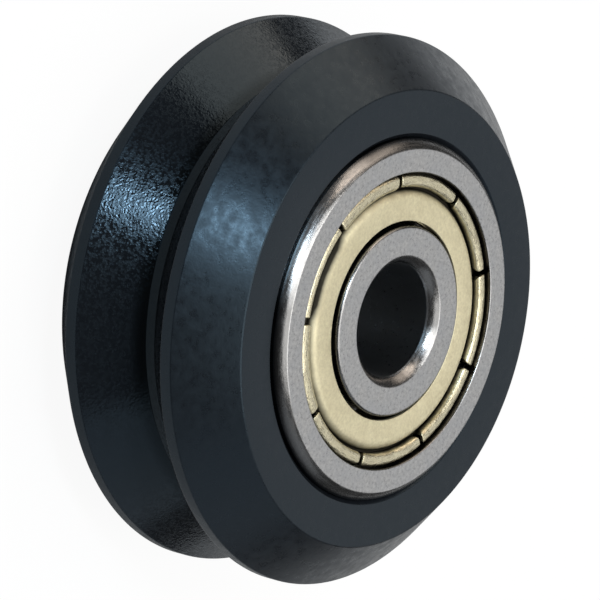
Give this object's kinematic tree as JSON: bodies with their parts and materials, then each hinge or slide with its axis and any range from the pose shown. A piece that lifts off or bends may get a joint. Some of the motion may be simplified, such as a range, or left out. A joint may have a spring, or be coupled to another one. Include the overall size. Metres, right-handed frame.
{
  "type": "v groove wheel",
  "caption": "Roller wheel with a V groove between sharp crests and a cone outside each crest, turning on shielded ball bearings round a plain through bore.",
  "frame": {"origin": "centre of the axle bore, halfway through the wheel", "axes": "+Z along the axle and out of the upper bearing; +X and +Y square to it"},
  "size_m": [0.0244, 0.0244, 0.011],
  "materials": {
    "wheel_plastic": "turned black acetal, satin",
    "ring_steel": "ground bearing steel, satin faces and polished fillets",
    "shield_steel": "pressed sheet, pale gold passivated, matt plate and bright rolled rim",
    "cage_steel": "pressed steel ribbon, oiled",
    "ball_steel": "lapped steel, mirror",
    "spacer_steel": "flat punched steel washer"
  },
  "bodies": {
    "hub": {"spacer": "spacer_steel", "upper_inner_ring": "ring_steel", "lower_inner_ring": "ring_steel"},
    "wheel": {"wheel": "wheel_plastic", "upper_outer_ring": "ring_steel", "upper_outboard_shield": "shield_steel", "upper_inboard_shield": "shield_steel", "lower_outer_ring": "ring_steel", "lower_outboard_shield": "shield_steel", "lower_inboard_shield": "shield_steel"},
    "upper_cage": {"upper_cage_outboard": "cage_steel", "upper_cage_inboard": "cage_steel"},
    "upper_ball_1": {"upper_ball_1": "ball_steel"},
    "upper_ball_2": {"upper_ball_2": "ball_steel"},
    "upper_ball_3": {"upper_ball_3": "ball_steel"},
    "upper_ball_4": {"upper_ball_4": "ball_steel"},
    "upper_ball_5": {"upper_ball_5": "ball_steel"},
    "upper_ball_6": {"upper_ball_6": "ball_steel"},
    "upper_ball_7": {"upper_ball_7": "ball_steel"},
    "lower_cage": {"lower_cage_outboard": "cage_steel", "lower_cage_inboard": "cage_steel"},
    "lower_ball_1": {"lower_ball_1": "ball_steel"},
    "lower_ball_2": {"lower_ball_2": "ball_steel"},
    "lower_ball_3": {"lower_ball_3": "ball_steel"},
    "lower_ball_4": {"lower_ball_4": "ball_steel"},
    "lower_ball_5": {"lower_ball_5": "ball_steel"},
    "lower_ball_6": {"lower_ball_6": "ball_steel"},
    "lower_ball_7": {"lower_ball_7": "ball_steel"}
  },
  "joints": [
    {"name": "wheel_spin", "type": "hinge", "parent": "hub", "child": "wheel", "pos_m": [0, 0, 0], "axis": [0, 0, 1], "continuous": true},
    {"name": "upper_cage_orbit", "type": "hinge", "parent": "hub", "child": "upper_cage", "pos_m": [0, 0, 0.003], "axis": [0, 0, 1], "continuous": true},
    {"name": "upper_ball_1_roll", "type": "hinge", "parent": "upper_cage", "child": "upper_ball_1", "pos_m": [0.00525, 0, 0.003], "axis": [0, 0, 1], "continuous": true},
    {"name": "upper_ball_2_roll", "type": "hinge", "parent": "upper_cage", "child": "upper_ball_2", "pos_m": [0.00327, 0.0041, 0.003], "axis": [0, 0, 1], "continuous": true},
    {"name": "upper_ball_3_roll", "type": "hinge", "parent": "upper_cage", "child": "upper_ball_3", "pos_m": [-0.00117, 0.00512, 0.003], "axis": [0, 0, 1], "continuous": true},
    {"name": "upper_ball_4_roll", "type": "hinge", "parent": "upper_cage", "child": "upper_ball_4", "pos_m": [-0.00473, 0.00228, 0.003], "axis": [0, 0, 1], "continuous": true},
    {"name": "upper_ball_5_roll", "type": "hinge", "parent": "upper_cage", "child": "upper_ball_5", "pos_m": [-0.00473, -0.00228, 0.003], "axis": [0, 0, 1], "continuous": true},
    {"name": "upper_ball_6_roll", "type": "hinge", "parent": "upper_cage", "child": "upper_ball_6", "pos_m": [-0.00117, -0.00512, 0.003], "axis": [0, 0, 1], "continuous": true},
    {"name": "upper_ball_7_roll", "type": "hinge", "parent": "upper_cage", "child": "upper_ball_7", "pos_m": [0.00327, -0.0041, 0.003], "axis": [0, 0, 1], "continuous": true},
    {"name": "lower_cage_orbit", "type": "hinge", "parent": "hub", "child": "lower_cage", "pos_m": [0, 0, -0.003], "axis": [0, 0, 1], "continuous": true},
    {"name": "lower_ball_1_roll", "type": "hinge", "parent": "lower_cage", "child": "lower_ball_1", "pos_m": [0.00483, 0.00205, -0.003], "axis": [0, 0, 1], "continuous": true},
    {"name": "lower_ball_2_roll", "type": "hinge", "parent": "lower_cage", "child": "lower_ball_2", "pos_m": [0.00141, 0.00506, -0.003], "axis": [0, 0, 1], "continuous": true},
    {"name": "lower_ball_3_roll", "type": "hinge", "parent": "lower_cage", "child": "lower_ball_3", "pos_m": [-0.00308, 0.00426, -0.003], "axis": [0, 0, 1], "continuous": true},
    {"name": "lower_ball_4_roll", "type": "hinge", "parent": "lower_cage", "child": "lower_ball_4", "pos_m": [-0.00524, 0.00025, -0.003], "axis": [0, 0, 1], "continuous": true},
    {"name": "lower_ball_5_roll", "type": "hinge", "parent": "lower_cage", "child": "lower_ball_5", "pos_m": [-0.00346, -0.00395, -0.003], "axis": [0, 0, 1], "continuous": true},
    {"name": "lower_ball_6_roll", "type": "hinge", "parent": "lower_cage", "child": "lower_ball_6", "pos_m": [0.00092, -0.00517, -0.003], "axis": [0, 0, 1], "continuous": true},
    {"name": "lower_ball_7_roll", "type": "hinge", "parent": "lower_cage", "child": "lower_ball_7", "pos_m": [0.00462, -0.0025, -0.003], "axis": [0, 0, 1], "continuous": true}
  ],
  "couplings": [
    {"joint": "upper_cage_orbit", "follows": "wheel_spin", "ratio": 0.63229},
    {"joint": "upper_ball_1_roll", "follows": "wheel_spin", "ratio": 1.7576},
    {"joint": "upper_ball_2_roll", "follows": "wheel_spin", "ratio": 1.7576},
    {"joint": "upper_ball_3_roll", "follows": "wheel_spin", "ratio": 1.7576},
    {"joint": "upper_ball_4_roll", "follows": "wheel_spin", "ratio": 1.7576},
    {"joint": "upper_ball_5_roll", "follows": "wheel_spin", "ratio": 1.7576},
    {"joint": "upper_ball_6_roll", "follows": "wheel_spin", "ratio": 1.7576},
    {"joint": "upper_ball_7_roll", "follows": "wheel_spin", "ratio": 1.7576},
    {"joint": "lower_cage_orbit", "follows": "wheel_spin", "ratio": 0.63229},
    {"joint": "lower_ball_1_roll", "follows": "wheel_spin", "ratio": 1.7576},
    {"joint": "lower_ball_2_roll", "follows": "wheel_spin", "ratio": 1.7576},
    {"joint": "lower_ball_3_roll", "follows": "wheel_spin", "ratio": 1.7576},
    {"joint": "lower_ball_4_roll", "follows": "wheel_spin", "ratio": 1.7576},
    {"joint": "lower_ball_5_roll", "follows": "wheel_spin", "ratio": 1.7576},
    {"joint": "lower_ball_6_roll", "follows": "wheel_spin", "ratio": 1.7576},
    {"joint": "lower_ball_7_roll", "follows": "wheel_spin", "ratio": 1.7576}
  ]
}
